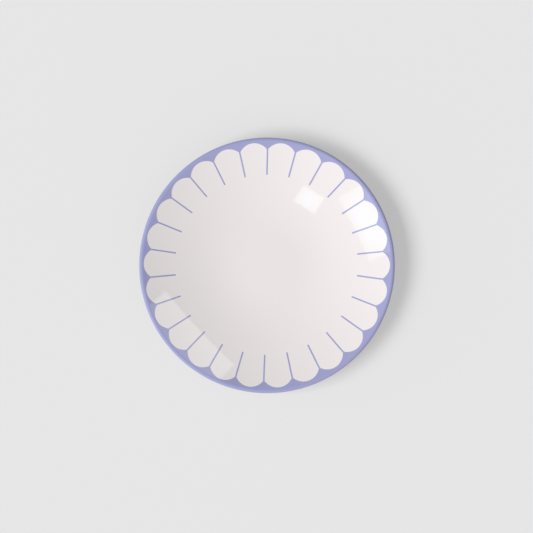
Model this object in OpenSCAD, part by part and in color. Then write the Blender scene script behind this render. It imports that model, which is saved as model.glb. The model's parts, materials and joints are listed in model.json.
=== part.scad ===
// Coupe dessert plate with a painted scallop border
// One fired body under a coat of glaze and colour. The section is one chain of tangent arcs,
// so every surface of the coat lies exactly on the body and on the coat beside it.
// The plate stands on z = 0, with its axis on Z.

/* [Plate] */
// Diameter over the rim
plate_d = 200; // [190:1:214]
// Depth from the top of the rim to the flat of the well
well_depth = 14.2; // [13.9:0.1:17]
// Diameter of the flat in the middle of the well
well_d = 43.2; // [36:0.2:50]
// Finished thickness of the wall, coat included
wall_t = 4; // [3.2:0.1:4.8]

/* [Curve of the bowl] */
// Run of the inner curve, from the flat of the well out to the turn
turn_run = 36; // [33:0.5:40]
// Rise of the inner curve over that run
turn_rise = 3.5; // [3:0.1:3.8]

/* [Foot ring] */
// Outer diameter of the foot ring
foot_d = 124; // [116:1:132]
// Width of the foot ring, coat included
foot_w = 3.8; // [3:0.1:5]
// Height of the base above the table
foot_gap = 2.4; // [2:0.1:3.4]
// Radius of the hollow curve between the wall and the foot ring
wall_cove = 1.8; // [1:0.1:2.4]
// Radius of the hollow curve between the base and the foot ring
base_cove = 1.2; // [0.6:0.1:1.4]
// Bevel on both edges of the resting face
foot_bevel = 0.4; // [0.2:0.05:0.6]
// Height of the bare clay above the table
bare_h = 0.8; // [0.7:0.05:1.1]

/* [Glaze and colour] */
// Thickness of the coat, glaze and colour alike
coat_t = 0.3; // [0.2:0.05:0.5]
// Reach of the colour in under the rim, measured in from the edge
border_under = 4; // [3:0.1:7]

/* [Scallop border] */
// Number of scallops
scallop_n = 26; // [20:1:32]
// Width of the plain band between the scallop tips and the edge
band_w = 3.9; // [2.8:0.05:5]
// Radius of a scallop as a share of half the scallop spacing
scallop_share = 1.24; // [1.05:0.01:1.3]
// Turn of the first divider line from the X axis, in degrees
first_line_a = 6.3; // [0:0.1:13]
// Length of a divider line
line_l = 19.2; // [8:0.1:26]
// Width of a divider line
line_w = 1.2; // [0.6:0.05:2]

/* [Hidden] */
$fn = 208;
// Steps in each long curve, up to the crest of the lip, in each quarter of the lip and in each cove
sweep_n = 8;
crest_n = 2;
lip_n = 8;
cove_n = 6;
// Overrun of every cut
over = 5;

clay = "#E9E4DA";
white = "#F4F1ED";
lavender = "#A3A5CC";

plate_r = plate_d / 2;
well_r = well_d / 2;
lip_r = wall_t / 2;
foot_r = foot_d / 2;
foot_in_r = foot_r - foot_w;
foot_mid_r = foot_r - foot_w / 2;
well_z = foot_gap + wall_t;
rim_z = well_z + well_depth;

// A direction in the section, turned by s degrees from straight down towards the rim
function dir(s) = [sin(s), -cos(s)];

// Inner curve of the face: level at the edge of the flat, it rises turn_rise over turn_run
turn_a = 2 * atan(turn_rise / turn_run);
inner_r = (turn_run * turn_run + turn_rise * turn_rise) / (2 * turn_rise);
inner_c = [well_r, well_z + inner_r];
turn_p = inner_c + inner_r * dir(turn_a);

// Outer curve of the face: it leaves the inner curve at the turn without a corner
// and runs without a corner into the round of the lip
lip_c = [plate_r - lip_r, rim_z - lip_r];
lip_v = lip_c - turn_p;
outer_r = (lip_v * lip_v - lip_r * lip_r) / (2 * (lip_r - lip_v * dir(turn_a)));
outer_c = turn_p - outer_r * dir(turn_a);
lip_a = asin((lip_c.x - outer_c.x) / (outer_r + lip_r));

// Hollow curve that runs from the underside of the wall into the side of the foot ring
wall_cove_run = foot_r + wall_cove - outer_c.x;
wall_cove_reach = outer_r + wall_t + wall_cove;
wall_cove_a = asin(wall_cove_run / wall_cove_reach);
wall_cove_c = outer_c + wall_cove_reach * dir(wall_cove_a);

// Hollow curve that runs from the side of the foot ring into the base
base_cove_c = [foot_in_r - base_cove, foot_gap - base_cove];

// Points that split the coat, all of them half way through the wall
well_mid = [well_r, well_z - lip_r];
turn_mid = inner_c + (inner_r + lip_r) * dir(turn_a);
border_a = asin((plate_r - border_under - outer_c.x) / (outer_r + wall_t));
border_mid = outer_c + (outer_r + lip_r) * dir(border_a);
foot_mid = outer_c + (outer_r + lip_r) * dir(asin((foot_mid_r - outer_c.x) / (outer_r + lip_r)));
border_out = outer_c + (outer_r + wall_t + over) * dir(border_a);

// Scallops: equal circles on a ring, each crossing the next on a divider line
half_pitch_a = 180 / scallop_n;
tip_r = plate_r - band_w;
ring_r = tip_r / (1 + scallop_share * sin(half_pitch_a));
scallop_r = tip_r - ring_r;
notch_rise = sqrt(pow(scallop_r, 2) - pow(ring_r * sin(half_pitch_a), 2));
notch_r = ring_r * cos(half_pitch_a) + notch_rise;
line_in_r = notch_r - line_l;

// Points along an arc from one angle to another, without the first one
function arc(c, r, from, to, n) = [for (i = [1:n]) c + r * dir(from + (to - from) * i / n)];

// Section of the plate, drawn in by inset all round but for the face that it rests on
module section(inset) {
  polygon(concat(
    [[0, well_z - inset], [well_r, well_z - inset]],
    arc(inner_c, inner_r + inset, 0, turn_a, sweep_n),
    arc(outer_c, outer_r + inset, turn_a, lip_a, sweep_n),
    arc(lip_c, lip_r - inset, 180 + lip_a, 180, crest_n),
    arc(lip_c, lip_r - inset, 180, 90, lip_n),
    arc(lip_c, lip_r - inset, 90, lip_a, lip_n),
    arc(outer_c, outer_r + wall_t - inset, lip_a, wall_cove_a, sweep_n),
    arc(wall_cove_c, wall_cove + inset, 180 + wall_cove_a, 270, cove_n),
    [[foot_r - inset, foot_bevel], [foot_r - inset - foot_bevel, 0]],
    [[foot_in_r + inset + foot_bevel, 0], [foot_in_r + inset, foot_bevel]],
    [[foot_in_r + inset, base_cove_c.y]],
    arc(base_cove_c, base_cove + inset, 90, 180, cove_n),
    [[0, foot_gap + inset]]
  ));
}

// The coat inside one zone of the section, turned round the axis
module coat(zone) {
  rotate_extrude() intersection() {
    difference() {
      section(0);
      section(coat_t);
    }
    polygon(zone);
  }
}

// Zones of the coat: over the face, round the lip, under the wall and inside the foot ring
face_zone = [
  [0, well_mid.y], well_mid, turn_mid, lip_c,
  [lip_c.x, rim_z + over], [0, rim_z + over]
];
lip_zone = [
  lip_c, [lip_c.x, rim_z + over], [plate_r + over, rim_z + over],
  [plate_r + over, border_out.y], border_out, border_mid
];
wall_zone = [
  border_mid, border_out, [border_out.x, bare_h],
  [foot_mid_r, bare_h], foot_mid
];
base_zone = [[0, bare_h], [foot_mid_r, bare_h], [foot_mid_r, well_mid.y], [0, well_mid.y]];

// Plan of the white field, scalloped round its edge
module field() {
  circle(ring_r);
  for (i = [0:scallop_n - 1])
    rotate(first_line_a + (2 * i + 1) * half_pitch_a)
      translate([ring_r, 0])
        circle(scallop_r);
}

// Plan of the divider lines, each running from the notch between two scallops to the middle
module strokes() {
  for (i = [0:scallop_n - 1])
    rotate(first_line_a + 2 * i * half_pitch_a)
      translate([line_in_r, -line_w / 2])
        square([tip_r - line_in_r, line_w]);
}

// A plan drawn up through the whole height of the plate
module through() {
  linear_extrude(rim_z + over) children();
}

// Fired clay body, bare only where it stands on the table
module body() {
  color(clay) rotate_extrude() section(coat_t);
}

// White glaze of the eating face, inside the scallops and between the divider lines
module face_glaze() {
  color(white) intersection() {
    coat(face_zone);
    through() difference() {
      field();
      strokes();
    }
  }
}

// White glaze under the wall, from the colour down to the bare clay of the foot ring
module wall_glaze() {
  color(white) coat(wall_zone);
}

// White glaze of the base, inside the foot ring
module base_glaze() {
  color(white) coat(base_zone);
}

// Colour outside the scallops, carried over the lip and in under the rim
module scallop_border() {
  color(lavender) {
    difference() {
      coat(face_zone);
      through() field();
    }
    coat(lip_zone);
  }
}

// The divider lines, one stroke of colour in each notch
module divider_lines() {
  color(lavender) intersection() {
    coat(face_zone);
    through() intersection() {
      field();
      strokes();
    }
  }
}

body();
face_glaze();
wall_glaze();
base_glaze();
scallop_border();
divider_lines();
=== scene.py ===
"""Glazed skins for a dessert plate with a painted scallop border, and a plain studio to see it in.

Every skin follows the same section: a chain of tangent arcs that runs from the flat of the well,
up the dished wall, round the lip and down to the foot ring. Plan points are complex numbers,
with X as the real part and Y as the imaginary part, and all lengths are in metres.
"""

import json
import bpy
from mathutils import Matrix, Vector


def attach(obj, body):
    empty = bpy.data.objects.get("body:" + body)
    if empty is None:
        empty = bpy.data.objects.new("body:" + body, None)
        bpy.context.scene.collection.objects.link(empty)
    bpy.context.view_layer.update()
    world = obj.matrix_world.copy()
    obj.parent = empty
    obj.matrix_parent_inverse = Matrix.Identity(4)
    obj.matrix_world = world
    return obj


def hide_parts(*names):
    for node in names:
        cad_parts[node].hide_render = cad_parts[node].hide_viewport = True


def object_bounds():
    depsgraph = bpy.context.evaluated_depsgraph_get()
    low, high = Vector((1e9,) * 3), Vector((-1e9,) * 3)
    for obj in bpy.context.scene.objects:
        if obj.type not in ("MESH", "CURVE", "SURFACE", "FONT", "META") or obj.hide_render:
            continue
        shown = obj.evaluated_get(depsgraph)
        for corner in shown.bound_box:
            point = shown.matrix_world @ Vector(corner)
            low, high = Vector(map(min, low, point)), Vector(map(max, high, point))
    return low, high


bl_info = {
    "name": "Scalloped Dessert Plate",
    "version": (1, 0, 0),
    "blender": (4, 5, 0),
    "location": "View3D > Sidebar > Plate",
    "description": "Builds the glazed skins of a dessert plate and the studio round it",
    "category": "Add Mesh",
}

import bpy
import numpy as np
from bpy.props import FloatProperty, FloatVectorProperty, IntProperty, PointerProperty
from mathutils import Vector

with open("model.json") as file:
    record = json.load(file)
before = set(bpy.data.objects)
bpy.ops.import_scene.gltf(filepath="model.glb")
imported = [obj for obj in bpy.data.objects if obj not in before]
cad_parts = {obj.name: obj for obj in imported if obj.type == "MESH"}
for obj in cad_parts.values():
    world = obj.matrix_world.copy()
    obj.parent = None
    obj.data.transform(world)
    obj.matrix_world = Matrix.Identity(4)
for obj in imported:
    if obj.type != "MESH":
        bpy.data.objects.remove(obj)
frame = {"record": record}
CAD_BOX = [list(corner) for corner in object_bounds()]

MM = 0.001
BODY = "root"
RIM_DIAMETER = CAD_BOX[1][0] - CAD_BOX[0][0]
RIM_HEIGHT = CAD_BOX[1][2] - CAD_BOX[0][2]
SLOT_COLOURS = {finish["slot"]: finish["base_color"] for finish in frame["record"]["materials"]}

# Steps along a scallop's edge, and rows of the disc, of the leaves and of the border's face
EDGE_STEPS = 14
DISC_ROWS = 36
LEAF_ROWS = 14
BORDER_ROWS = 8

# Steps along the section's arcs: crest, each half of the lip, return under the rim, underside of
# the wall, hollow outside the foot ring, each edge of the resting face and hollow inside the ring
CREST_STEPS = 8
LIP_STEPS = 12
RETURN_STEPS = 6
UNDER_STEPS = 24
WALL_COVE_STEPS = 10
FOOT_STEPS = 6
BASE_COVE_STEPS = 8

# Points from the middle out: over the clay's face to the crest, and over the base to its hollow
CLAY_POINTS = 60
BASE_POINTS = 24

# Least radius that a point is divided by, and the least angle that shows as a corner on the clay
LEAST_RADIUS = 1e-9
SHARP_CORNER = np.radians(35)

# Patches of noise in a metre: a glaze's drift, long waves and mottle, the clay's clouds and grain
DRIFT_SCALE = 16.0
WAVE_SCALE = 34.0
MOTTLE_SCALE = 420.0
CLOUD_SCALE = 120.0
GRAIN_SCALE = 1500.0

# Grain noise at which a speck of the clay starts and is full, and the tone of a full speck
SPECK_START = 0.62
SPECK_FULL = 0.74
SPECK_TONE = 0.78

# Tone of the clay where its cloud noise is nought, and what the noise adds where it is one
CLOUD_TONE = 0.94
CLOUD_GAIN = 0.12

# Azimuth and zenith of each lamp, then its half angles from side to side and up and down
KEY_PLACE = np.radians([195.0, 42.5, 16.0, 11.5])
SIDE_PLACE = np.radians([190.0, 70.0, 24.0, 12.0])

# The same for each panel that the glaze mirrors, then its twist
SOFTBOX_PLACE = np.radians([203.0, 29.9, 9.6, 4.3, 3.5])
WINDOW_PLACE = np.radians([237.5, 20.75, 3.35, 3.05, 0.0])
BOARD_PLACE = np.radians([43.0, 29.9, 13.6, 4.6, 0.0])

# Shares of a panel's half width over which its heart and its even glow fade out
SOFTBOX_FADE = 0.7
WINDOW_FADE = 0.9
EVEN_FADE = 0.05

# Points along each side of a panel
PANEL_POINTS = 41

# Radii of the floor's rings, the points on each, and how far the floor lies under the foot ring
FLOOR_RINGS = np.array([0.15, 0.6, 2.0, 8.0])
FLOOR_POINTS = 96
FLOOR_DROP = 0.02 * MM

# Height of a unit direction, above and below level, within which the room's light changes
HORIZON = 0.1


def length(name, description, default):
    """A length that the sidebar shows in the scene's unit."""
    return FloatProperty(
        name=name, description=description, default=default, unit="LENGTH", precision=5
    )


def angle(name, description, degrees):
    """An angle, written in degrees and kept in radians."""
    return FloatProperty(
        name=name, description=description, default=np.radians(degrees), subtype="ANGLE"
    )


def share(name, description, default):
    """A share, from nothing to the whole."""
    return FloatProperty(
        name=name, description=description, default=default, min=0.0, max=1.0, subtype="FACTOR"
    )


def amount(name, description, default):
    """A plain number, nought or more."""
    return FloatProperty(name=name, description=description, default=default, min=0.0)


def count(name, description, default):
    """A whole number, one or more."""
    return IntProperty(name=name, description=description, default=default, min=1)


def colour(name, description, default):
    """A colour in linear light."""
    return FloatVectorProperty(
        name=name, description=description, default=default, subtype="COLOR", min=0.0, max=1.0
    )


class PlateForm(bpy.types.PropertyGroup):
    """Sizes of the section that every skin follows."""

    rim_diameter: length("Rim diameter", "Diameter over the rim", RIM_DIAMETER)
    rim_height: length("Rim height", "Height of the rim's crest above the table", RIM_HEIGHT)
    well_depth: length("Well depth", "Depth from the crest to the flat of the well", 14.2 * MM)
    well_diameter: length("Well diameter", "Diameter of the flat in the well", 43.2 * MM)
    wall: length("Wall", "Finished thickness of the wall, coat included", 4 * MM)
    turn_run: length("Turn run", "Run of the inner curve, out to the turn", 36 * MM)
    turn_rise: length("Turn rise", "Rise of the inner curve over that run", 3.5 * MM)
    foot_diameter: length("Foot diameter", "Outer diameter of the foot ring", 124 * MM)
    foot_width: length("Foot width", "Width of the foot ring, coat included", 3.8 * MM)
    wall_cove: length("Wall cove", "Hollow between the wall and the foot ring", 1.8 * MM)
    base_cove: length("Base cove", "Hollow between the base and the foot ring", 1.2 * MM)
    foot_round: length("Foot round", "Round on both edges of the resting face", 0.4 * MM)
    bare_height: length("Bare height", "Height of the bare clay above the table", 0.8 * MM)
    coat: length("Coat", "Thickness of the glaze and of the colour", 0.3 * MM)
    under_reach: length("Under reach", "Reach of the colour in under the rim", 4 * MM)
    crest: length("Crest", "Radius of the rim's crest, towards the face", 4 * MM)


class PlateBorder(bpy.types.PropertyGroup):
    """Layout of the scallops and the divider lines, and how the print really fell."""

    scallops: count("Scallops", "Number of scallops round the border", 26)
    band: length("Band", "Plain band between the scallop tips and the edge", 3.9 * MM)
    roundness: FloatProperty(
        name="Roundness",
        description="Radius of a scallop over half the scallop spacing",
        default=1.24,
        min=1.0,
        max=1.4,
    )
    first_line: angle("First line", "Turn of the first divider line from the X axis", 6.3)
    line_length: length("Line length", "Length of a divider line", 19.2 * MM)
    line_width: length("Line width", "Width of a divider line", 1.2 * MM)
    drift_x: length("Drift X", "How far the print fell to the right of the middle", -0.39 * MM)
    drift_y: length("Drift Y", "How far the print fell up the picture from it", 0.47 * MM)
    stretch: share("Stretch", "How much the print was drawn out one way as it was laid", 0.0079)
    stretch_turn: angle("Stretch turn", "Turn of that way from the X axis", 13)
    lean: angle("Lean", "Lean of the divider lines off the plate's radii", 1.07)
    settle: length("Settle", "Width inside the rim over which the print sits truer", 15.9 * MM)
    crowd: angle("Crowd", "How far the scallops turn away from one side to crowd the other", 0.36)
    crowd_turn: angle("Crowd turn", "Where that turn is greatest, from the X axis", 39.4)
    waver: angle("Waver", "How far the scallops turn to and fro, three times round", 0.186)
    waver_turn: angle("Waver turn", "Where that turn is greatest, from the X axis", 86.6)


class PlateFinish(bpy.types.PropertyGroup):
    """Colours and surface of the glazes and the clay."""

    white: colour("White glaze", "Colour of the white glaze", (0.844, 0.801, 0.798))
    lavender: colour("Lavender", "Colour of the border", (0.353, 0.361, 0.61))
    clay: colour("Clay", "Colour of the bare clay", SLOT_COLOURS["bare_clay"])
    gloss: share("Gloss roughness", "Roughness of the fired glaze", 0.02)
    clay_roughness: share("Clay roughness", "Roughness of the bare clay", 0.82)
    glaze_index: amount("Glaze index", "Refractive index of the glaze", 1.5)
    wave: length("Wave", "Height of the slow waves in the glaze", 0.006 * MM)
    peel: length("Peel", "Height of the fine ripple in the glaze", 0.0001 * MM)
    grit: length("Grit", "Height of the grain of the bare clay", 0.03 * MM)


class PlateStage(bpy.types.PropertyGroup):
    """Camera, lamps and floor."""

    camera_height: length("Camera height", "Height of the camera above the table", 1600 * MM)
    camera_x: length("Camera X", "Place of the camera to the right of the middle", -0.40 * MM)
    camera_y: length("Camera Y", "Place of the camera up the picture from it", -0.87 * MM)
    frame_width: length("Frame width", "Width of the picture at the rim", 416.4 * MM)
    lamp_distance: length("Lamp distance", "Distance of the lamps from the plate", 40.0)
    panel_distance: length("Panel distance", "Distance of the mirrored panels from it", 9.0)
    key_power: amount("Key power", "Share of the table's light that the key gives", 0.528)
    side_power: amount("Side power", "Share of the table's light from low at the side", 0.015)
    fill: amount("Fill", "Radiance of the room overhead", 0.48)
    fill_slant: amount("Fill slant", "How much of the fill its bright side adds", 0.49)
    fill_turn: angle("Fill turn", "Turn of the room's bright side from the X axis", 243)
    bounce: amount("Bounce", "Radiance of the room below the horizon", 0.5)
    softbox_glow: amount("Softbox glow", "What the softbox adds to the room in the gloss", 1.5)
    window_glow: amount("Window glow", "What the window adds to the room in the gloss", 2.2)
    board_glow: amount("Board glow", "What a pale board adds to the room in the gloss", 2.0)
    heart_glow: amount("Heart glow", "What the middle of the softbox and the window adds", 1.5)
    heart_tint: colour("Heart tint", "Cool colour of that middle", (0.05, 0.62, 1.0))
    floor_tone: share("Floor tone", "Tone of the floor, in linear light", 0.801)
    floor_lift: share("Floor lift", "Part of the floor's tone that no shadow reaches", 0.35)


class PlateSettings(bpy.types.PropertyGroup):
    """All settings of the plate."""

    form: PointerProperty(type=PlateForm)
    border: PointerProperty(type=PlateBorder)
    finish: PointerProperty(type=PlateFinish)
    stage: PointerProperty(type=PlateStage)


def heading(turn):
    """Unit vector in the section, turned from straight down towards the rim: (sine, -cosine)."""
    return np.stack([np.sin(turn), -np.cos(turn)], -1)


def sweep(centre, radius, start, end, steps):
    """Arc of the section: the centre plus the radius times the heading, from start to end."""
    return centre + radius * heading(np.linspace(start, end, steps + 1))


class Section:
    """Half section of the plate in radius and height, as tangent arcs worked out from its sizes.

    The inner arc leaves the well level and rises turn_rise over turn_run. The bowl's arc leaves
    it at the turn with the same slope, and its radius is the one that also touches the crest's
    round: (v.v - c.c) / (2 (c - v.d)), where v runs from the turn to the round's centre, c is
    the round's radius and d the heading at the turn. The underside follows the arc that would
    touch the lip's own round, moved out by the wall.
    """

    def __init__(self, form):
        self.form = form
        self.rim = form.rim_diameter / 2
        self.lip = form.wall / 2
        self.foot = form.foot_diameter / 2
        self.well_height = form.rim_height - form.well_depth
        self.base_height = self.well_height - form.wall
        run, rise = form.turn_run, form.turn_rise
        self.turn = 2 * np.arctan2(rise, run)
        self.inner = (run**2 + rise**2) / (2 * rise)
        self.inner_centre = np.array([form.well_diameter / 2, self.well_height + self.inner])
        turn_point = self.inner_centre + self.inner * heading(self.turn)
        self.turn_radius = turn_point[0]
        self.lip_centre = np.array([self.rim - self.lip, form.rim_height - self.lip])
        self.outer, self.outer_centre = self.arc_to(turn_point, self.lip_centre, self.lip)
        self.lip_turn = self.turn_on(self.lip_centre[0], self.outer + self.lip)
        self.crest_centre = np.array([self.rim - self.lip, form.rim_height - form.crest])
        self.bowl, self.bowl_centre = self.arc_to(turn_point, self.crest_centre, form.crest)
        run_in = self.crest_centre[0] - self.bowl_centre[0]
        self.crest_turn = np.arcsin(run_in / (self.bowl + form.crest))
        self.crest_radius = self.bowl_centre[0] + self.bowl * np.sin(self.crest_turn)
        self.under = self.outer + form.wall
        self.border_turn = self.turn_on(self.rim - form.under_reach, self.under)
        cove_reach = self.under + form.wall_cove
        self.cove_turn = self.turn_on(self.foot + form.wall_cove, cove_reach)
        self.wall_cove_centre = self.outer_centre + cove_reach * heading(self.cove_turn)
        self.foot_inside = self.foot - form.foot_width
        self.base_cove_centre = np.array([self.foot_inside, self.base_height]) - form.base_cove

    def arc_to(self, start, centre, radius):
        """Radius and centre of the arc that leaves the turn and touches a round from outside."""
        reach = centre - start
        spare = radius - reach @ heading(self.turn)
        arc = (reach @ reach - radius**2) / (2 * spare)
        return arc, start - arc * heading(self.turn)

    def turn_on(self, radius, reach):
        """Turn at which the outer centre's circle of radius reach crosses that radius.

        It is the arcsine of the run out from the centre, over the reach.
        """
        return np.arcsin((radius - self.outer_centre[0]) / reach)

    def face(self, radius, depth):
        """Radius and height of the eating face over each radius, sunk by depth.

        The slope is the arcsine of the run from the arc's centre over the arc's radius, and
        nought over the well. The point is sunk against the normal: out by depth times the
        slope's sine, and down by depth times its cosine.
        """
        beyond = radius > self.turn_radius
        centre = np.where(beyond[..., None], self.bowl_centre, self.inner_centre)
        arc = np.where(beyond, self.bowl, self.inner)
        slope = np.arcsin(np.clip((radius - centre[..., 0]) / arc, 0.0, 1.0))
        out = radius + depth * np.sin(slope)
        height = centre[..., 1] - (arc + depth) * np.cos(slope)
        return out, height

    def rim_chain(self, depth):
        """Section of the lip, drawn in by depth, from the face over the crest to the border's end.

        The arcs keep their centres and shrink by the depth.
        """
        soft = self.form.crest - depth
        lip = self.lip - depth
        under = self.under - depth
        crest = sweep(self.crest_centre, soft, np.pi + self.crest_turn, np.pi, CREST_STEPS)
        above = sweep(self.lip_centre, lip, np.pi, np.pi / 2, LIP_STEPS)
        below = sweep(self.lip_centre, lip, np.pi / 2, self.lip_turn, LIP_STEPS)
        inward = sweep(self.outer_centre, under, self.lip_turn, self.border_turn, RETURN_STEPS)
        return np.concatenate([crest, above[1:], below[1:], inward[1:]])

    def wall_chain(self, depth=0.0):
        """Section under the wall, drawn in by depth, from the border to the foot ring's outside.

        The wall's arc shrinks by the depth. The hollow's bends the other way, and grows by it.
        """
        under = self.under - depth
        hollow = self.form.wall_cove + depth
        start, end = np.pi + self.cove_turn, 1.5 * np.pi
        inward = sweep(self.outer_centre, under, self.border_turn, self.cove_turn, UNDER_STEPS)
        cove = sweep(self.wall_cove_centre, hollow, start, end, WALL_COVE_STEPS)
        side = np.array([[self.foot - depth, self.form.bare_height]])
        return np.concatenate([inward, cove[1:], side])

    def base_chain(self, depth=0.0):
        """Section of the base, drawn in by depth, from the foot ring's inside to the middle."""
        side = np.array([[self.foot_inside + depth, self.form.bare_height]])
        hollow = self.form.base_cove + depth
        cove = sweep(self.base_cove_centre, hollow, np.pi / 2, np.pi, BASE_COVE_STEPS)
        middle = np.linspace(1.0, 0.0, BASE_POINTS)[1:, None] * [cove[-1, 0], 0.0]
        flat = middle + [0.0, self.base_height + depth]
        return np.concatenate([side, cove, flat])

    def clay_chain(self, depth):
        """Section of the clay inside its coat, from the middle of the face round to the base.

        Only the foot ring's resting face shows, so its edges are rounded and not bevelled.
        """
        radius = np.linspace(0.0, self.crest_radius, CLAY_POINTS)
        face = np.stack(self.face(radius, depth), -1)
        rim = self.rim_chain(depth)[1:]
        wall = self.wall_chain(depth)[1:]
        soft = self.form.foot_round
        outer = np.array([self.foot - depth - soft, soft])
        inner = np.array([self.foot_inside + depth + soft, soft])
        heel = sweep(outer, soft, np.pi / 2, 0.0, FOOT_STEPS)
        toe = sweep(inner, soft, 0.0, -np.pi / 2, FOOT_STEPS)
        base = self.base_chain(depth)
        return np.concatenate([face, rim, wall, heel, toe, base])


class Scallops:
    """Plan of the border: equal circles on a ring, each crossing the next on a divider line.

    A circle's centre lies aside from its two lines by the ring's radius times the sine of the
    half spacing. The circle's radius is the roundness times that, and its tip is the band's
    width inside the rim. A notch is as far out as the ring's radius times the cosine of the half
    spacing, plus the root of the circle's radius squared less that aside squared.
    """

    def __init__(self, plate):
        border = plate.border
        self.border = border
        self.section = Section(plate.form)
        self.rim = self.section.rim
        self.half = np.pi / border.scallops
        tip = self.rim - border.band
        self.ring = tip / (1 + border.roundness * np.sin(self.half))
        self.circle = tip - self.ring
        self.aside = self.ring * np.sin(self.half)
        self.notch = self.ring * np.cos(self.half) + np.sqrt(self.circle**2 - self.aside**2)
        self.line_root = self.notch - border.line_length
        number = np.arange(border.scallops)
        self.lines = np.exp(1j * (border.first_line + 2 * number * self.half))
        self.axes = self.lines * np.exp(1j * self.half)

    def fallen(self, plan):
        """Where the print really fell: drawn out one way, moved by the drift, turned and wrung.

        Drawing out adds the stretch times the mirrored plan point. The part of it and of the
        drift that points to or from the axis fades evenly to nothing from the settle width to
        the rim. A point turns by the crowd times the cosine of its azimuth and by the waver
        times the cosine of three times it, both counted from where they are greatest. Wringing
        turns it back by the lean times how far it is past the lines' middle, over that middle's
        radius, and fades too.
        """
        border = self.border
        radius = np.abs(plan)
        fade = np.clip((self.rim - radius) / border.settle, 0.0, 1.0)
        middle = (self.notch + self.line_root) / 2
        azimuth = np.angle(plan)
        turn = border.crowd * np.cos(azimuth - border.crowd_turn)
        turn += border.waver * np.cos(3 * (azimuth - border.waver_turn))
        turn -= fade * border.lean * (radius / middle - 1)
        drawn = border.stretch * np.exp(2j * border.stretch_turn) * np.conj(plan)
        shift = drawn + border.drift_x + 1j * border.drift_y
        outward = np.exp(1j * azimuth)
        spread = (shift * np.conj(outward)).real * outward
        return plan * np.exp(1j * turn) + shift - (1 - fade) * spread

    def round_edge(self, steps):
        """Round edge of each scallop: its circle, between the two lines that it meets.

        The circle reaches as far round each way as the half spacing, plus the arcsine of its
        centre's distance from the line's side over its radius.
        """
        reach = self.half + np.arcsin((self.aside - self.border.line_width / 2) / self.circle)
        turns = np.linspace(-reach, reach, steps + 1)
        edge = self.ring + self.circle * np.exp(1j * turns)
        return edge * self.axes[:, None]

    def root_edge(self, steps):
        """Inner edge of each scallop's leaf: an arc round the axis, between its lines' ends."""
        corner = self.line_root + 0.5j * self.border.line_width
        reach = self.half - np.angle(corner)
        turns = np.linspace(-reach, reach, steps + 1)
        return np.abs(corner) * np.exp(1j * turns) * self.axes[:, None]

    def border_edge(self, steps):
        """Inner edge of the border all the way round: each notch, then its scallop's edge."""
        notches = (self.notch * self.lines)[:, None]
        return np.concatenate([notches, self.round_edge(steps)], 1).ravel()


def rows_between(start, end, rows):
    """Rows of plan points at even shares of the way from start to end, with both of them."""
    shares = np.linspace(0.0, 1.0, rows + 1)
    return start + shares.reshape(-1, *[1] * end.ndim) * (end - start)


def laid(section, plan, depth=0.0):
    """Points of the face over plan points, sunk by depth: each plan point keeps its direction."""
    radius = np.abs(plan)
    out, height = section.face(radius, depth)
    over = plan * (out / np.maximum(radius, LEAST_RADIUS))
    return np.stack([over.real, over.imag, height], -1)


def turned_points(chain, directions):
    """Grid of a chain of radii and heights carried round the axis to each unit direction."""
    over = chain[:, :1] * directions
    height = np.broadcast_to(chain[:, 1:], over.shape)
    return np.stack([over.real, over.imag, height], -1)


def pole(height):
    """The one point on the axis at this height, as a row of points."""
    return np.array([[0.0, 0.0, height]])


def quads(grid, around=True):
    """Quads between the rows and columns of a grid of vertex numbers, rows running outwards.

    Around joins the last column to the first.
    """
    if around:
        grid = np.concatenate([grid, grid[:, :1]], 1)
    corners = [grid[:-1, :-1], grid[1:, :-1], grid[1:, 1:], grid[:-1, 1:]]
    return np.stack(corners, -1).reshape(-1, 4)


def fan(middle, ring):
    """Triangles from the middle to each pair of neighbours on the ring of vertices round it."""
    after = np.roll(ring, -1)
    return np.stack([np.full_like(ring, middle), ring, after], -1)


def open_edges(cells, vertices):
    """Directed edges of the cells that no other cell runs along the other way."""
    starts = np.concatenate([cell.ravel() for cell in cells])
    ends = np.concatenate([np.roll(cell, -1, 1).ravel() for cell in cells])
    alone = ~np.isin(starts * vertices + ends, ends * vertices + starts)
    return starts[alone], ends[alone]


def make_mesh(name, points, cells):
    """New object whose mesh has these points and cells, shaded smooth."""
    mesh = bpy.data.meshes.new(name)
    faces = sum([cell.tolist() for cell in cells], [])
    mesh.from_pydata(points, [], faces)
    mesh.polygons.foreach_set("use_smooth", np.ones(len(faces), bool))
    mesh.validate()
    piece = bpy.data.objects.new(name, mesh)
    bpy.context.scene.collection.objects.link(piece)
    return piece


def make_skin(name, front, back, cells):
    """Closed skin between a front sheet and the same sheet sunk into the clay.

    Both sheets share their cells, turned over at the back, and a wall of quads joins them along
    every open edge. The shading normal of a front point is the unit vector from the point sunk
    under it, so neighbouring skins are shaded as one surface. Noughts leave the walls' normals
    to Blender.
    """
    front = front.reshape(-1, 3)
    back = back.reshape(-1, 3)
    total = len(front)
    starts, ends = open_edges(cells, total)
    walls = np.stack([ends, starts, starts + total, ends + total], -1)
    turned_over = [cell[:, ::-1] + total for cell in cells]
    piece = make_mesh(name, np.concatenate([front, back]), cells + turned_over + [walls])
    outward = front - back
    outward /= np.linalg.norm(outward, axis=1, keepdims=True)
    corners = [outward[cell.ravel()] for cell in cells]
    corners += [-outward[cell.ravel() - total] for cell in turned_over]
    corners += [np.zeros((walls.size, 3))]
    piece.data.normals_split_custom_set(np.concatenate(corners))
    return piece


def numbered(shape, first=0):
    """Grid of vertex numbers in reading order, counted on from the first."""
    return first + np.arange(shape[0] * shape[1]).reshape(shape)


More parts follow.
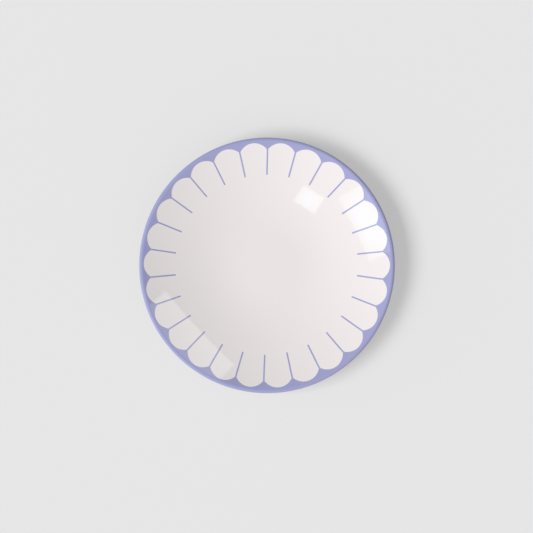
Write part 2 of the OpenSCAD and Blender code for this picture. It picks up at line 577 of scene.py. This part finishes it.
def node(tree, kind, inputs=None, **traits):
    """New shader node with its traits set and each named input linked or given its value."""
    made = tree.nodes.new(kind)
    for trait, value in traits.items():
        setattr(made, trait, value)
    for socket, value in (inputs or {}).items():
        if isinstance(value, bpy.types.NodeSocket):
            tree.links.new(value, made.inputs[socket])
        else:
            made.inputs[socket].default_value = value
    return made


def maths(tree, operation, first, second):
    """Output of a Math node on two values or sockets."""
    return node(tree, "ShaderNodeMath", {0: first, 1: second}, operation=operation).outputs[0]


def noise(tree, where, scale, detail):
    """Output of a noise texture, from nought to one, round a half."""
    inputs = {"Vector": where, "Scale": scale, "Detail": detail, "Roughness": 0.5}
    return node(tree, "ShaderNodeTexNoise", inputs).outputs["Fac"]


def ramp(tree, value, start, end, low, high):
    """Output that runs evenly from low to high while the value runs from start to end."""
    inputs = {"Value": value, "From Min": start, "From Max": end, "To Min": low, "To Max": high}
    return node(tree, "ShaderNodeMapRange", inputs).outputs["Result"]


def toned(tree, tint, tone):
    """Output that is a colour times a tone."""
    inputs = {0: tint, "Scale": tone}
    return node(tree, "ShaderNodeVectorMath", inputs, operation="SCALE").outputs[0]


def relief(tree, height):
    """Normal of a surface that stands up by this height in metres."""
    inputs = {"Strength": 1.0, "Distance": 1.0, "Height": height}
    return node(tree, "ShaderNodeBump", inputs).outputs["Normal"]


def new_group(name, inputs, outputs):
    """Tree of a new shader group with these sockets, and what its input node puts out."""
    tree = bpy.data.node_groups.new(name, "ShaderNodeTree")
    for socket, kind in inputs.items():
        tree.interface.new_socket(socket, in_out="INPUT", socket_type=kind)
    for socket, kind in outputs.items():
        tree.interface.new_socket(socket, in_out="OUTPUT", socket_type=kind)
    return tree, tree.nodes.new("NodeGroupInput").outputs


def glaze_surface():
    """Group for every glaze: a slow drift and a fine mottle in its tone, and waves in its skin.

    The colour is times 1 + drift (slow - 1/2) + mottle (fine - 1/2). The roughness is the gloss
    times 1/2 + slow. The height is the wave times a long noise plus the peel times the fine one.
    """
    name = "Fired glaze surface"
    if name in bpy.data.node_groups:
        return bpy.data.node_groups[name]
    tint, number, vector = "NodeSocketColor", "NodeSocketFloat", "NodeSocketVector"
    amounts = ["Drift", "Mottle", "Gloss", "Wave", "Peel"]
    inputs = {"Colour": tint, **dict.fromkeys(amounts, number)}
    outputs = {"Colour": tint, "Roughness": number, "Normal": vector}
    tree, given = new_group(name, inputs, outputs)
    where = tree.nodes.new("ShaderNodeTexCoord").outputs["Object"]
    slow = noise(tree, where, DRIFT_SCALE, detail=1.0)
    fine = noise(tree, where, MOTTLE_SCALE, detail=3.0)
    long_wave = noise(tree, where, WAVE_SCALE, detail=0.0)
    drift = maths(tree, "MULTIPLY", given["Drift"], maths(tree, "SUBTRACT", slow, 0.5))
    mottle = maths(tree, "MULTIPLY", given["Mottle"], maths(tree, "SUBTRACT", fine, 0.5))
    tone = maths(tree, "ADD", 1.0, maths(tree, "ADD", drift, mottle))
    tinted = toned(tree, given["Colour"], tone)
    dulled = maths(tree, "MULTIPLY", given["Gloss"], maths(tree, "ADD", 0.5, slow))
    waves = maths(tree, "MULTIPLY", given["Wave"], long_wave)
    ripple = maths(tree, "MULTIPLY", given["Peel"], fine)
    normal = relief(tree, maths(tree, "ADD", waves, ripple))
    node(tree, "NodeGroupOutput", {"Colour": tinted, "Roughness": dulled, "Normal": normal})
    return tree


def new_material(name):
    """New material and its empty node tree."""
    material = bpy.data.materials.new(name)
    material.use_nodes = True
    material.node_tree.nodes.clear()
    return material, material.node_tree


def glaze(name, tint, finish, drift, mottle):
    """Glossy glaze of one colour over the shared glaze surface."""
    if name in bpy.data.materials:
        return bpy.data.materials[name]
    material, tree = new_material(name)
    values = {
        "Colour": (*tint, 1.0),
        "Drift": drift,
        "Mottle": mottle,
        "Gloss": finish.gloss,
        "Wave": finish.wave,
        "Peel": finish.peel,
    }
    skin = node(tree, "ShaderNodeGroup", values, node_tree=glaze_surface()).outputs
    inputs = {
        "Base Color": skin["Colour"],
        "Roughness": skin["Roughness"],
        "Normal": skin["Normal"],
        "IOR": finish.glaze_index,
    }
    shader = node(tree, "ShaderNodeBsdfPrincipled", inputs).outputs[0]
    node(tree, "ShaderNodeOutputMaterial", {"Surface": shader})
    return material


def white_glaze(finish):
    """Warm white glaze, almost even in tone."""
    return glaze("Warm white glaze", finish.white, finish, drift=0.015, mottle=0.012)


def lavender_glaze(finish):
    """Lavender under the gloss, a little mottled as the stain was laid."""
    return glaze("Lavender under gloss", finish.lavender, finish, drift=0.05, mottle=0.06)


def bare_clay(finish):
    """Matt clay, ground smooth: a fine grain, and specks of a darker body.

    Its colour is times a speck, which falls from 1 to its tone as the grain rises, and times a
    cloud, which rises evenly with the cloud noise. Its height is the grit times the grain.
    """
    material, tree = new_material("Bare fired clay")
    where = tree.nodes.new("ShaderNodeTexCoord").outputs["Object"]
    grain = noise(tree, where, GRAIN_SCALE, detail=4.0)
    cloud = noise(tree, where, CLOUD_SCALE, detail=2.0)
    speck = ramp(tree, grain, SPECK_START, SPECK_FULL, 1.0, SPECK_TONE)
    cloudy = maths(tree, "ADD", CLOUD_TONE, maths(tree, "MULTIPLY", CLOUD_GAIN, cloud))
    tinted = toned(tree, finish.clay, maths(tree, "MULTIPLY", speck, cloudy))
    normal = relief(tree, maths(tree, "MULTIPLY", finish.grit, grain))
    inputs = {"Base Color": tinted, "Roughness": finish.clay_roughness, "Normal": normal}
    shader = node(tree, "ShaderNodeBsdfPrincipled", inputs).outputs[0]
    node(tree, "ShaderNodeOutputMaterial", {"Surface": shader})
    return material


def settle_piece(piece, material, slot, *nodes):
    """Gives a piece its material, hangs it on the body's empty, and hides the CAD nodes that it
    stands for.
    """
    piece.data.materials.append(material)
    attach(piece, BODY)
    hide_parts(*nodes)


def around(plate):
    """Unit directions of every turned skin's columns: those of the border's fallen inner edge."""
    scallops = Scallops(plate)
    edge = scallops.fallen(scallops.border_edge(EDGE_STEPS))
    return edge / np.abs(edge)


class PLATE_OT_clay_body(bpy.types.Operator):
    """Turn the fired clay body, which shows only where it stands on the table"""

    bl_idname = "plate.clay_body"
    bl_label = "Clay Body"

    def execute(self, context):
        """Carries the clay's section round the axis and closes it with a pole above and below."""
        plate = context.scene.dessert_plate
        chain = Section(plate.form).clay_chain(plate.form.coat)
        rings = turned_points(chain[1:-1], around(plate))
        poles = [pole(chain[0, 1]), pole(chain[-1, 1])]
        points = np.concatenate([*poles, rings.reshape(-1, 3)])
        grid = numbered(rings.shape[:2], first=2)
        top = fan(0, grid[0])
        bottom = fan(1, grid[-1][::-1])
        piece = make_mesh("fired_clay_body", points, [quads(grid), top, bottom])
        piece.data.set_sharp_from_angle(angle=SHARP_CORNER)
        settle_piece(piece, bare_clay(plate.finish), "bare_clay", "body")
        return {"FINISHED"}


class PLATE_OT_face_glaze(bpy.types.Operator):
    """Lay the white glaze of the face: a disc that runs out into one leaf for each scallop"""

    bl_idname = "plate.face_glaze"
    bl_label = "Face Glaze"

    def execute(self, context):
        """Rows run from the middle to the leaves' inner edges, and on to their round edges.

        The slots between the leaves are left for the divider lines.
        """
        plate = context.scene.dessert_plate
        scallops = Scallops(plate)
        section = scallops.section
        root = scallops.root_edge(EDGE_STEPS)
        edge = scallops.round_edge(EDGE_STEPS)
        disc = rows_between(0.0, root.ravel(), DISC_ROWS)[1:]
        leaves = rows_between(root.ravel(), edge.ravel(), LEAF_ROWS)[1:]
        plan = scallops.fallen(np.concatenate([disc, leaves]))
        middle = scallops.fallen(np.zeros(1, complex))
        plan = np.concatenate([middle, plan.ravel()])
        grid = numbered((DISC_ROWS + LEAF_ROWS, root.size), first=1)
        between = grid[DISC_ROWS - 1 :].reshape(LEAF_ROWS + 1, *root.shape)
        cells = [quads(grid[:DISC_ROWS]), fan(0, grid[0])]
        cells += [quads(between[:, each], around=False) for each in range(len(root))]
        front = laid(section, plan)
        back = laid(section, plan, plate.form.coat)
        piece = make_skin("white_face_glaze", front, back, cells)
        settle_piece(piece, white_glaze(plate.finish), "white_glaze", "face_glaze")
        return {"FINISHED"}


class PLATE_OT_underside_glaze(bpy.types.Operator):
    """Lay the white glaze under the wall and on the base, which stops short of the table"""

    bl_idname = "plate.underside_glaze"
    bl_label = "Underside Glaze"

    def execute(self, context):
        """Carries the section of the wall's glaze round the axis, and then that of the base's."""
        plate = context.scene.dessert_plate
        section = Section(plate.form)
        directions = around(plate)
        coat = plate.form.coat
        front = turned_points(section.wall_chain(), directions)
        back = turned_points(section.wall_chain(coat), directions)
        wall = make_skin("white_wall_glaze", front, back, [quads(numbered(front.shape[:2]))])
        settle_piece(wall, white_glaze(plate.finish), "white_glaze", "wall_glaze")
        chain = section.base_chain()
        front = self.closed_base(chain, directions)
        back = self.closed_base(section.base_chain(coat), directions)
        grid = numbered((len(chain) - 1, len(directions)))
        cells = [quads(grid), fan(grid.size, grid[-1][::-1])]
        base = make_skin("white_base_glaze", front, back, cells)
        settle_piece(base, white_glaze(plate.finish), "white_glaze", "base_glaze")
        return {"FINISHED"}

    def closed_base(self, chain, directions):
        """Points of the base's rings, and after them the one point in the middle."""
        rings = turned_points(chain[:-1], directions).reshape(-1, 3)
        return np.concatenate([rings, pole(chain[-1, 1])])


class PLATE_OT_scallop_border(bpy.types.Operator):
    """Lay the colour outside the scallops, over the lip and in under the rim"""

    bl_idname = "plate.scallop_border"
    bl_label = "Scallop Border"

    def execute(self, context):
        """Joins the colour's own sheet and the same sheet sunk by the coat."""
        plate = context.scene.dessert_plate
        scallops = Scallops(plate)
        section = scallops.section
        edge = scallops.fallen(scallops.border_edge(EDGE_STEPS))
        front = self.sheet(section, edge, 0.0)
        back = self.sheet(section, edge, plate.form.coat)
        cells = [quads(numbered(front.shape[:2]))]
        piece = make_skin("lavender_scallop_border", front, back, cells)
        settle_piece(piece, lavender_glaze(plate.finish), "lavender_glaze", "scallop_border")
        return {"FINISHED"}

    def sheet(self, section, edge, depth):
        """Rows from the scalloped edge straight out to the lip, then the rim's section turned."""
        direction = edge / np.abs(edge)
        plan = rows_between(edge, section.crest_radius * direction, BORDER_ROWS)[:-1]
        rim = turned_points(section.rim_chain(depth), direction)
        return np.concatenate([laid(section, plan, depth), rim])


class PLATE_OT_divider_lines(bpy.types.Operator):
    """Lay one stroke of colour between each pair of scallops"""

    bl_idname = "plate.divider_lines"
    bl_label = "Divider Lines"

    def execute(self, context):
        """Rows run from each stroke's inner end to its notch.

        Each has three points: the last of the leaf before, the line's own and the first of the
        leaf after, so that the stroke fills the slot between them.
        """
        plate = context.scene.dessert_plate
        scallops = Scallops(plate)
        section = scallops.section
        root = scallops.root_edge(EDGE_STEPS)
        edge = scallops.round_edge(EDGE_STEPS)
        middle_root = scallops.line_root * scallops.lines
        notch = scallops.notch * scallops.lines
        starts = np.stack([np.roll(root[:, -1], 1), middle_root, root[:, 0]], -1)
        ends = np.stack([np.roll(edge[:, -1], 1), notch, edge[:, 0]], -1)
        plan = scallops.fallen(rows_between(starts, ends, LEAF_ROWS))
        grid = numbered((LEAF_ROWS + 1, starts.size)).reshape(plan.shape)
        cells = [quads(grid[:, each], around=False) for each in range(len(starts))]
        front = laid(section, plan)
        back = laid(section, plan, plate.form.coat)
        piece = make_skin("lavender_divider_lines", front, back, cells)
        settle_piece(piece, lavender_glaze(plate.finish), "lavender_glaze", "divider_lines")
        return {"FINISHED"}


def direction_to(azimuth, zenith):
    """Unit vector towards a place in the room: azimuth from the X axis, zenith from overhead.

    Its level part is the sine of the zenith, turned by the azimuth, and its height the cosine.
    """
    flat = np.sin(zenith)
    return Vector((flat * np.cos(azimuth), flat * np.sin(azimuth), np.cos(zenith)))


def add_lamp(name, stage, azimuth, zenith, spread, rise, radiance):
    """Square-cut lamp on a far sphere round the plate, facing it and unseen in the gloss.

    Spread and rise are the half angles that it fills from side to side and up and down. An area
    lamp's power is pi times its area times its radiance.
    """
    towards = direction_to(azimuth, zenith)
    lamp = bpy.data.lights.new(name, "AREA")
    lamp.shape = "RECTANGLE"
    lamp.size = 2 * stage.lamp_distance * np.tan(spread)
    lamp.size_y = 2 * stage.lamp_distance * np.tan(rise)
    lamp.energy = np.pi * lamp.size * lamp.size_y * radiance
    holder = bpy.data.objects.new(name, lamp)
    holder.location = towards * stage.lamp_distance
    holder.rotation_euler = towards.to_track_quat("Z", "Y").to_euler()
    holder.visible_camera = False
    holder.visible_glossy = False
    bpy.context.scene.collection.objects.link(holder)


def smooth_step(share):
    """Smooth rise from nought to one: 3t^2 - 2t^3."""
    share = np.clip(share, 0.0, 1.0)
    return share * share * (3 - 2 * share)


def inside(across, up, fade):
    """One inside a panel and nought on its sides, with smooth steps as wide as the fade."""
    return smooth_step((1 - np.abs(across)) / fade) * smooth_step((1 - np.abs(up)) / fade)


def add_panel(name, stage, azimuth, zenith, spread, rise, twist, glow, heart=0.0, fade=1.0):
    """Glowing panel that only the glaze mirrors, laid out as a lamp is and then twisted.

    A point is the panel's middle plus shares, from -1 to 1, of its half width and half height.
    The glow is even up to a narrow edge. The heart is a further, cooler glow, which is full in
    the middle and fades out towards the sides over the fade.
    """
    shares = np.linspace(-1, 1, PANEL_POINTS)
    across, up = np.meshgrid(shares, shares)
    middle = np.array(direction_to(azimuth, zenith))
    side = np.array([-np.sin(azimuth), np.cos(azimuth), 0.0])
    upward = np.cross(middle, side)
    wide, high = across * np.tan(spread), up * np.tan(rise)
    level = wide * np.cos(twist) - high * np.sin(twist)
    steep = wide * np.sin(twist) + high * np.cos(twist)
    points = middle + level[..., None] * side + steep[..., None] * upward
    points = points * stage.panel_distance
    panel = make_mesh(name, points.reshape(-1, 3), [quads(numbered(across.shape), around=False)])
    even = glow * inside(across, up, EVEN_FADE)
    cool = heart * np.array(stage.heart_tint) * inside(across, up, fade)[..., None]
    radiance = np.ones((*across.shape, 4))
    radiance[..., :3] = even[..., None] + cool
    attribute = panel.data.attributes.new("glow", "FLOAT_COLOR", "POINT")
    attribute.data.foreach_set("color", radiance.ravel().astype(np.float32))
    panel.data.materials.append(panel_material())
    panel.visible_camera = False
    panel.visible_diffuse = False
    panel.visible_shadow = False


def panel_material():
    """Clear pane that adds the light that the panel's own attribute says."""
    name = "Lit panel"
    if name in bpy.data.materials:
        return bpy.data.materials[name]
    material, tree = new_material(name)
    glow = node(tree, "ShaderNodeAttribute", attribute_name="glow").outputs["Color"]
    light = node(tree, "ShaderNodeEmission", {"Color": glow, "Strength": 1.0}).outputs[0]
    clear = node(tree, "ShaderNodeBsdfTransparent").outputs[0]
    both = node(tree, "ShaderNodeAddShader", {0: light, 1: clear}).outputs[0]
    node(tree, "ShaderNodeOutputMaterial", {"Surface": both})
    return material


def table_light(zenith, spread, rise):
    """Light that a lamp of radiance 1 gives the table, as a share of full daylight.

    It is the lamp's solid angle times the zenith's cosine, over pi.
    """
    solid_angle = 4 * np.tan(spread) * np.tan(rise)
    return solid_angle * np.cos(zenith) / np.pi


class PLATE_OT_stage(bpy.types.Operator):
    """Set up the floor, the soft lamps and the camera straight above the plate"""

    bl_idname = "plate.stage"
    bl_label = "Stage"

    def execute(self, context):
        """Adds each part of the stage from its settings, with the camera framed at the rim."""
        stage = context.scene.dessert_plate.stage
        rim_height = context.scene.dessert_plate.form.rim_height
        self.add_floor(stage)
        self.add_lamps(stage)
        self.light_room(context.scene, stage)
        self.add_camera(context.scene, stage, rim_height)
        context.scene.view_settings.view_transform = "Standard"
        return {"FINISHED"}

    def add_floor(self, stage):
        """Round floor, seen only by the camera and in gloss, and clear from below.

        It lies a hair under the foot ring, so that the two never share a plane.
        """
        directions = np.exp(2j * np.pi * np.arange(FLOOR_POINTS) / FLOOR_POINTS)
        chain = np.stack([FLOOR_RINGS, np.full(len(FLOOR_RINGS), -FLOOR_DROP)], -1)
        rings = turned_points(chain, directions)
        points = np.concatenate([pole(-FLOOR_DROP), rings.reshape(-1, 3)])
        grid = numbered(rings.shape[:2], first=1)
        floor = make_mesh("floor", points, [quads(grid), fan(0, grid[0])])
        floor.visible_diffuse = False
        floor.visible_shadow = False
        floor.data.materials.append(self.floor_material(stage))

    def floor_material(self, stage):
        """Matt floor, part of whose tone is its own, so that shadows on it stay pale."""
        material, tree = new_material("Pale floor")
        tone = (stage.floor_tone,) * 3 + (1.0,)
        matt = node(tree, "ShaderNodeBsdfDiffuse", {"Color": tone}).outputs[0]
        own = node(tree, "ShaderNodeEmission", {"Color": tone, "Strength": 1.0}).outputs[0]
        ray = tree.nodes.new("ShaderNodeLightPath").outputs
        seen = maths(tree, "MAXIMUM", ray["Is Camera Ray"], ray["Is Glossy Ray"])
        seen = maths(tree, "MAXIMUM", seen, ray["Is Transmission Ray"])
        lift = maths(tree, "MULTIPLY", seen, stage.floor_lift)
        lifted = node(tree, "ShaderNodeMixShader", {"Fac": lift, 1: matt, 2: own}).outputs[0]
        below = tree.nodes.new("ShaderNodeNewGeometry").outputs["Backfacing"]
        clear = tree.nodes.new("ShaderNodeBsdfTransparent").outputs[0]
        both = node(tree, "ShaderNodeMixShader", {"Fac": below, 1: lifted, 2: clear}).outputs[0]
        node(tree, "ShaderNodeOutputMaterial", {"Surface": both})
        return material

    def add_lamps(self, stage):
        """The key and a low side light, and the panels that the glaze mirrors.

        A lamp's radiance is its share of the table's light over what a radiance of 1 gives.
        """
        key_glow = stage.key_power / table_light(*KEY_PLACE[1:])
        side_glow = stage.side_power / table_light(*SIDE_PLACE[1:])
        heart = stage.heart_glow
        add_lamp("key_light", stage, *KEY_PLACE, key_glow)
        add_lamp("side_light", stage, *SIDE_PLACE, side_glow)
        add_panel("softbox", stage, *SOFTBOX_PLACE, stage.softbox_glow, heart, SOFTBOX_FADE)
        add_panel("window", stage, *WINDOW_PLACE, stage.window_glow, heart, WINDOW_FADE)
        add_panel("board", stage, *BOARD_PLACE, stage.board_glow)

    def light_room(self, scene, stage):
        """Light of the room, of which the camera sees only the floor's tone.

        Above the horizon the room's light is the fill times 1 + slant (d.b), where d is the
        direction looked in and b the level direction of the bright side. Below it is the bounce.
        """
        scene.world = bpy.data.worlds.new("Studio room")
        scene.world.use_nodes = True
        tree = scene.world.node_tree
        tree.nodes.clear()
        where = tree.nodes.new("ShaderNodeTexCoord").outputs["Generated"]
        height = node(tree, "ShaderNodeSeparateXYZ", {0: where}).outputs["Z"]
        bright = stage.fill_slant * direction_to(stage.fill_turn, np.pi / 2)
        slant = node(tree, "ShaderNodeVectorMath", {0: where, 1: bright}, operation="DOT_PRODUCT")
        slanted = maths(tree, "ADD", 1.0, slant.outputs["Value"])
        sky = maths(tree, "MULTIPLY", stage.fill, maths(tree, "MAXIMUM", slanted, 0.0))
        room = ramp(tree, height, -HORIZON, HORIZON, stage.bounce, sky)
        seen = tree.nodes.new("ShaderNodeLightPath").outputs["Is Camera Ray"]
        choice = {"Factor": seen, "A": room, "B": stage.floor_tone}
        strength = node(tree, "ShaderNodeMix", choice).outputs["Result"]
        inputs = {"Color": (1.0, 1.0, 1.0, 1.0), "Strength": strength}
        light = node(tree, "ShaderNodeBackground", inputs).outputs[0]
        node(tree, "ShaderNodeOutputWorld", {"Surface": light})

    def add_camera(self, scene, stage, rim_height):
        """Camera that looks straight down, its lens set by the frame's width at the rim."""
        lens = bpy.data.cameras.new("camera")
        rim_below = stage.camera_height - rim_height
        lens.lens = lens.sensor_width * rim_below / stage.frame_width
        camera = bpy.data.objects.new("camera", lens)
        camera.location = (stage.camera_x, stage.camera_y, stage.camera_height)
        scene.collection.objects.link(camera)
        scene.camera = camera


class PLATE_PT_sidebar(bpy.types.Panel):
    """Sizes, colours and steps of the plate"""

    bl_idname = "PLATE_PT_sidebar"
    bl_label = "Dessert Plate"
    bl_space_type = "VIEW_3D"
    bl_region_type = "UI"
    bl_category = "Plate"

    def draw(self, context):
        """Lists each group's settings in a box, and under them a button for each step."""
        plate = context.scene.dessert_plate
        for title in ("form", "border", "finish", "stage"):
            box = self.layout.box()
            box.label(text=title.capitalize())
            group = getattr(plate, title)
            for setting in group.__annotations__:
                box.prop(group, setting)
        for step in STEPS:
            self.layout.operator(step.bl_idname)


STEPS = (
    PLATE_OT_clay_body,
    PLATE_OT_face_glaze,
    PLATE_OT_underside_glaze,
    PLATE_OT_scallop_border,
    PLATE_OT_divider_lines,
    PLATE_OT_stage,
)
SETTINGS = (PlateForm, PlateBorder, PlateFinish, PlateStage, PlateSettings)
CLASSES = (*SETTINGS, *STEPS, PLATE_PT_sidebar)


def register():
    """Registers the settings, the steps and the panel."""
    for each in CLASSES:
        bpy.utils.register_class(each)
    bpy.types.Scene.dessert_plate = PointerProperty(type=PlateSettings)


def unregister():
    """Takes the panel, the steps and the settings away again."""
    del bpy.types.Scene.dessert_plate
    for each in reversed(CLASSES):
        bpy.utils.unregister_class(each)


def main():
    """Runs every step in order."""
    register()
    bpy.ops.plate.clay_body()
    bpy.ops.plate.face_glaze()
    bpy.ops.plate.underside_glaze()
    bpy.ops.plate.scallop_border()
    bpy.ops.plate.divider_lines()
    bpy.ops.plate.stage()


if __name__ == "__main__":
    main()
